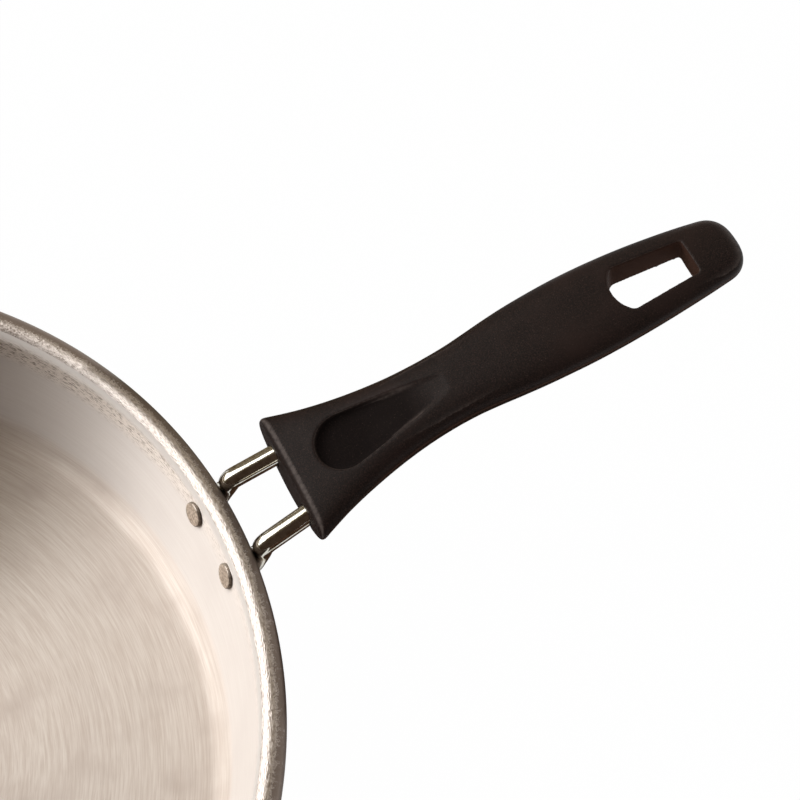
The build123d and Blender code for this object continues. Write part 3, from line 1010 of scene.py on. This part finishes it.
# %% Share the pan's surface between its three finishes
# The lathe's tool ran well up the bead's inner side
tool_reach = 6.6
wear(pan, turned_aluminium, rim_aluminium, outer_aluminium)
counts = [0, 0, 0]
crease_height = wall_point(math.sqrt((bead_radius + crease_radius) ** 2 - 2.7**2), 0)[1]
for polygon in pan.data.polygons:
    middle = polygon.center / mm
    distance = math.hypot(middle.x, middle.y)
    wall_middle = wall_point((bead_height - middle.z) / math.cos(flare), 0)[0]
    inside = distance < wall_middle
    if middle.z > crease_height + (tool_reach if inside else 0.0):
        polygon.material_index = 1
    elif middle.z > floor_thickness - 0.01 and inside:
        polygon.material_index = 0
    else:
        polygon.material_index = 2
    counts[polygon.material_index] += 1
print("faces turned, rim, outside:", counts)

# %% [markdown]
# ## Rivets
# The rivets are pressed from soft aluminium and dulled by washing. Soft noise gives their
# small dents, and the same noise shifts the colour, because the dents hold a grey film.

# %% Pressed aluminium
# Soft and dull, with a broad highlight
rivet_metal, tree, shader, millimetres = new_material("pressed_aluminium", Metallic=1.0)
grain = add_node(tree, "TexNoise", Vector=millimetres, Scale=1.4, Detail=4.0)
metal = blend(tree, linear("#b0a498"), linear("#dbd1c6"), grain, 0.35, 0.65)
dull = add_node(
    tree, "MapRange", soft_step, Value=grain, From_Min=0.3, From_Max=0.7,
    To_Min=0.5, To_Max=0.36,
)
dents = add_node(tree, "Bump", Strength=0.4, Distance=0.1 * mm, Height=grain)
plug(tree, shader, Base_Color=metal, Roughness=dull, Normal=dents)
for rivet in rivets.values():
    wear(rivet, rivet_metal)
print(rivet_metal.name, len(tree.nodes), "nodes")

# %% [markdown]
# ## Chrome on the rods
# The rods are steel with a mirror coat of chrome, which shows as bands of what is around it.
# A thin film of old fat dulls it in patches, and its first polish left it slightly wavy.

# %% Chrome plate
# A dark mirror with a faint olive cast
chrome, tree, shader, millimetres = new_material("chromed_steel", Metallic=1.0)
film = add_node(tree, "TexNoise", Vector=millimetres, Scale=0.5, Detail=3.0)
hairlines = add_node(tree, "TexNoise", Vector=millimetres, Scale=2.5, Detail=2.0)
plate = blend(tree, linear("#dcdad2"), linear("#bdb5a4"), film, 0.4, 0.7)
gloss = add_node(
    tree, "MapRange", soft_step, Value=hairlines, From_Min=0.35, From_Max=0.75,
    To_Min=0.08, To_Max=0.17,
)
ripple = add_node(tree, "Bump", Strength=0.25, Distance=0.08 * mm, Height=film)
plug(tree, shader, Base_Color=plate, Roughness=gloss, Normal=ripple)
for rod in rods.values():
    wear(rod, chrome)
print(chrome.name, len(tree.nodes), "nodes")

# %% [markdown]
# ## Clamp
# The insert is turned brass, and the plate, washer and screw are zinc-plated steel. They sit
# in a pocket under the handle and keep their CAD shape, so they only need a finish.

# %% Turned brass
# Yellow and fairly bright, with a fine uneven grain
brass, tree, shader, millimetres = new_material("turned_brass", Metallic=1.0)
turning = add_node(tree, "TexNoise", Vector=millimetres, Scale=2.0, Detail=3.0)
yellow = blend(tree, linear("#b8924a"), linear("#dcb968"), turning, 0.35, 0.7)
bright = add_node(
    tree, "MapRange", soft_step, Value=turning, From_Min=0.3, From_Max=0.7,
    To_Min=0.32, To_Max=0.2,
)
plug(tree, shader, Base_Color=yellow, Roughness=bright)

# %% Zinc plate
# Blue-grey crystals about a millimetre wide, each with its own brightness
zinc, tree, shader, millimetres = new_material("zinc_plated_steel", Metallic=1.0)
crystals = add_node(tree, "TexVoronoi", Vector=millimetres, Scale=0.9).outputs["Color"]
spangle = add_node(
    tree, "Mix", colours, Factor=crystals, A=linear("#a9abad"), B=linear("#cfd1d3")
)
frosted = add_node(
    tree, "MapRange", soft_step, Value=crystals, To_Min=0.38, To_Max=0.24
)
plug(tree, shader, Base_Color=spangle, Roughness=frosted)
for node, material in (
    ("threaded_insert", brass), ("clamp_plate", zinc), ("spring_washer", zinc), ("clamp_screw", zinc)
):
    wear(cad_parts[node], material)
print("clamp finished in", brass.name, "and", zinc.name)

# %% [markdown]
# ## Moulded phenolic
# The handle is filled phenolic resin: nearly black with a brown cast, matt, and never quite
# even. Wood flour in the resin gives a fine speckle, a hand leaves a dull shine along the
# top, each edge is rubbed to a paler line that is partly a painted highlight, and a brown seam runs
# round where the mould parted; its brown is also painted on the hang hole's walls as light.
# The last two follow the places stored in the mesh, and so does the recess, painted darker as shade.

# %% Phenolic
# A dry, dark brown-black that only shines where the light grazes it
phenolic, tree, shader, millimetres = new_material("moulded_phenolic", Specular_IOR_Level=0.22)
flour = add_node(tree, "TexNoise", Vector=millimetres, Scale=3.0, Detail=3.0, Roughness=0.7)
hand = add_node(tree, "TexNoise", Vector=millimetres, Scale=0.06, Detail=4.0)
scuffs = add_node(tree, "TexNoise", Vector=millimetres, Scale=0.8, Detail=3.0)
edge = add_node(tree, "Attribute", {"attribute_name": "rubbed"}).outputs["Fac"]
seam_and_hole_light = add_node(tree, "Attribute", {"attribute_name": "parting_and_hole_light"}).outputs["Fac"]
depth = add_node(tree, "Attribute", {"attribute_name": "recess_depth"}).outputs["Fac"]
resin = blend(tree, linear("#160d0a"), linear("#3a2721"), flour, 0.42, 0.78)
resin = blend(tree, resin, linear("#2a1c18"), hand, 0.4, 0.75)
# Painted shade: the recess is darkened towards near black, the more the deeper it is
in_recess = add_node(tree, "MapRange", soft_step, Value=depth, From_Min=0.12, From_Max=0.4)
resin = add_node(
    tree, "Mix", colours, A=resin, B=linear("#0e0807"),
    Factor=add_node(tree, "Math", times, i0=in_recess, i1=0.75),
)

# Pale specks of flour and dust, a third of a millimetre wide
specks = add_node(tree, "TexNoise", Vector=millimetres, Scale=3.2, Detail=1.0)
resin = blend(tree, resin, linear("#574740"), specks, 0.66, 0.8, 0.5)

# %% Rubbed edges, with painted highlights
# Painted highlight: the edges are paler partly for wear and partly for the light they catch
wear_and_highlight_share = add_node(
    tree, "Math", times,
    i0=add_node(tree, "MapRange", soft_step, Value=edge, From_Min=0.05, From_Max=0.9),
    i1=add_node(
        tree, "MapRange", soft_step, Value=scuffs, From_Min=0.3, From_Max=0.65,
        To_Min=0.35, To_Max=0.75,
    ),
)
resin = add_node(tree, "Mix", colours, Factor=wear_and_highlight_share, A=resin, B=linear("#645954"))
# Painted light: besides the real seam, this paler brown lights the hang hole's walls
seam_and_hole_light_share = add_node(tree, "Math", times, i0=seam_and_hole_light, i1=0.45)
resin = add_node(tree, "Mix", colours, Factor=seam_and_hole_light_share, A=resin, B=linear("#6b4a3c"))
matt = add_node(
    tree, "MapRange", soft_step, Value=hand, From_Min=0.3, From_Max=0.7,
    To_Min=0.56, To_Max=0.46,
)
matt = add_node(tree, "Math", times_plus, i0=in_recess, i1=0.42, i2=matt)
moulding = add_node(tree, "Bump", Strength=0.4, Distance=0.12 * mm, Height=flour)
plug(tree, shader, Base_Color=resin, Roughness=matt, Normal=moulding)
wear(handle, phenolic)
print(phenolic.name, len(tree.nodes), "nodes")

# %% [markdown]
# ## Floor
# The pan stands on plain white paper that fills the view. Lit paper would never come out
# evenly white without too much light on the pan, so it glows a little for the camera and for
# what metal mirrors, and still takes the pan's shadow.

# %% White paper
floor_reach = 3000
corners = [(x * floor_reach, y * floor_reach, 0) for x, y in ((-1, -1), (1, -1), (1, 1), (-1, 1))]
floor = mesh_object("floor", corners, [(0, 1, 2, 3)])
paper, tree, shader, millimetres = new_material(
    "white_paper", Base_Color=linear("#f3f3f3"), Roughness=0.8
)
light_path = add_node(tree, "LightPath").outputs
seen = add_node(
    tree, "Math", {"operation": "MAXIMUM"},
    i0=light_path["Is Camera Ray"], i1=light_path["Is Glossy Ray"],
)
seen = add_node(
    tree, "Math", {"operation": "MAXIMUM"}, i0=seen, i1=light_path["Is Transmission Ray"]
)
glow_share = add_node(tree, "Math", times, i0=seen, i1=0.99)
glow = add_node(tree, "Emission", Color=(1, 1, 1, 1), Strength=1.0)
plug(
    tree, tree.nodes["Material Output"],
    Surface=add_node(tree, "MixShader", i0=glow_share, i1=shader, i2=glow),
)
wear(floor, paper)
print("floor", 2 * floor_reach / 1000, "m wide")

# %% [markdown]
# ## Light
# One large softbox behind the pan makes the white streak on the rods and the bright fan on
# the turned floor. The rest of the room is pale for matt surfaces, and darker towards the
# camera in what metal mirrors, which gives chrome its dark bands. Three felt flags, a usual
# help with chrome, stand beside the rods and lie under them and the handle, where only
# reflections see them.

# %% Room
world = bpy.data.worlds.new("studio")
bpy.context.scene.world = world
world.use_nodes = True
room = world.node_tree
towards = add_node(room, "TexCoord").outputs["Generated"]
side_on = add_node(room, "SeparateXYZ", Vector=towards)
dark_side, light_side = (0.05, 0.032, 0.022, 1), (0.26, 0.21, 0.14, 1)
mirrored = blend(room, dark_side, light_side, side_on.outputs["Y"], -0.3, 0.5)
# A pale wall stands beyond the handle's end
mirrored = blend(room, mirrored, (0.62, 0.58, 0.54, 1), side_on.outputs["X"], 0.35, 0.85)
glossy = add_node(room, "LightPath").outputs["Is Glossy Ray"]
around = add_node(room, "Mix", colours, Factor=glossy, A=(0.42, 0.41, 0.4, 1), B=mirrored)
plug(room, room.nodes["Background"], Color=around, Strength=1.0)

# %% Softbox
# An upright rectangular lamp that faces the rim near the handle
box_turn = math.radians(134)
box_distance, box_bottom = 1.3, 0.35
box_width, box_height = 1.9, 2.15
radiance = 2.5
lamp = bpy.data.lights.new("softbox", "AREA")
lamp.shape = "RECTANGLE"
lamp.size = box_width
lamp.size_y = box_height
lamp.energy = radiance * math.pi * box_width * box_height
softbox = bpy.data.objects.new("softbox", lamp)
bpy.context.scene.collection.objects.link(softbox)
away = Vector((math.cos(box_turn), math.sin(box_turn), 0))
softbox.location = Vector((0.1, 0, box_bottom + box_height / 2)) + away * box_distance
softbox.rotation_euler = away.to_track_quat("Z", "Y").to_euler()
print("softbox power", round(lamp.energy, 1), "W")

# %% Felt flags
# Left of the rods, right of them, and on the floor under the rods and the handle
flags = (
    ("olive_felt", "#bfae90",
     [(135, 62, 1), (235, 62, 1), (235, 62, 112), (116, 62, 112), (116, 62, 48), (135, 62, 48)]),
    ("dark_felt", "#573d2b", [(135, -62, 14), (235, -62, 14), (235, -62, 48), (135, -62, 48)]),
    ("brown_felt", "#6b4c36",
     [(129, -54, 1), (190, -54, 1), (190, -110, 1), (340, -110, 1), (340, 140, 1), (190, 140, 1),
      (190, 62, 1), (129, 62, 1)]),
)
for name, colour, outline in flags:
    flag = mesh_object(f"flag_{name}", outline, [tuple(range(len(outline)))])
    wear(flag, new_material(name, Base_Color=linear(colour), Roughness=1.0)[0])
    flag.visible_camera = False
    flag.visible_diffuse = False
    flag.visible_shadow = False
    flag.visible_transmission = False
print("flags", [name for name, colour, outline in flags])

# %% [markdown]
# ## Camera
# The camera was found from the photo: the rim's ellipse and the handle's length fix where it
# stands and how long its lens is. It looks down at the rim near the handle with a slight roll.

# %% Camera
camera_azimuth = math.radians(-29.6)
camera_elevation = math.radians(60.8)
camera_roll = math.radians(3.0)
aim = Vector((197.49, 13.93, bead_height)) * mm
camera_distance = 627.13 * mm
back = Vector((
    math.sin(camera_azimuth) * math.cos(camera_elevation),
    -math.cos(camera_azimuth) * math.cos(camera_elevation),
    math.sin(camera_elevation),
))
right = Vector((math.cos(camera_azimuth), math.sin(camera_azimuth), 0))
upward = back.cross(right)
rolled_right = right * math.cos(camera_roll) + upward * math.sin(camera_roll)
rolled_up = upward * math.cos(camera_roll) - right * math.sin(camera_roll)
lens = bpy.data.cameras.new("camera")
lens.lens = 99.0
lens.sensor_width = 36.0
camera = bpy.data.objects.new("camera", lens)
bpy.context.scene.collection.objects.link(camera)
camera.matrix_world = Matrix((rolled_right, rolled_up, back)).transposed().to_4x4()
camera.location = aim + back * camera_distance
bpy.context.scene.camera = camera
bpy.context.scene.view_settings.view_transform = "Standard"
print("camera at", [round(v / mm) for v in camera.location])
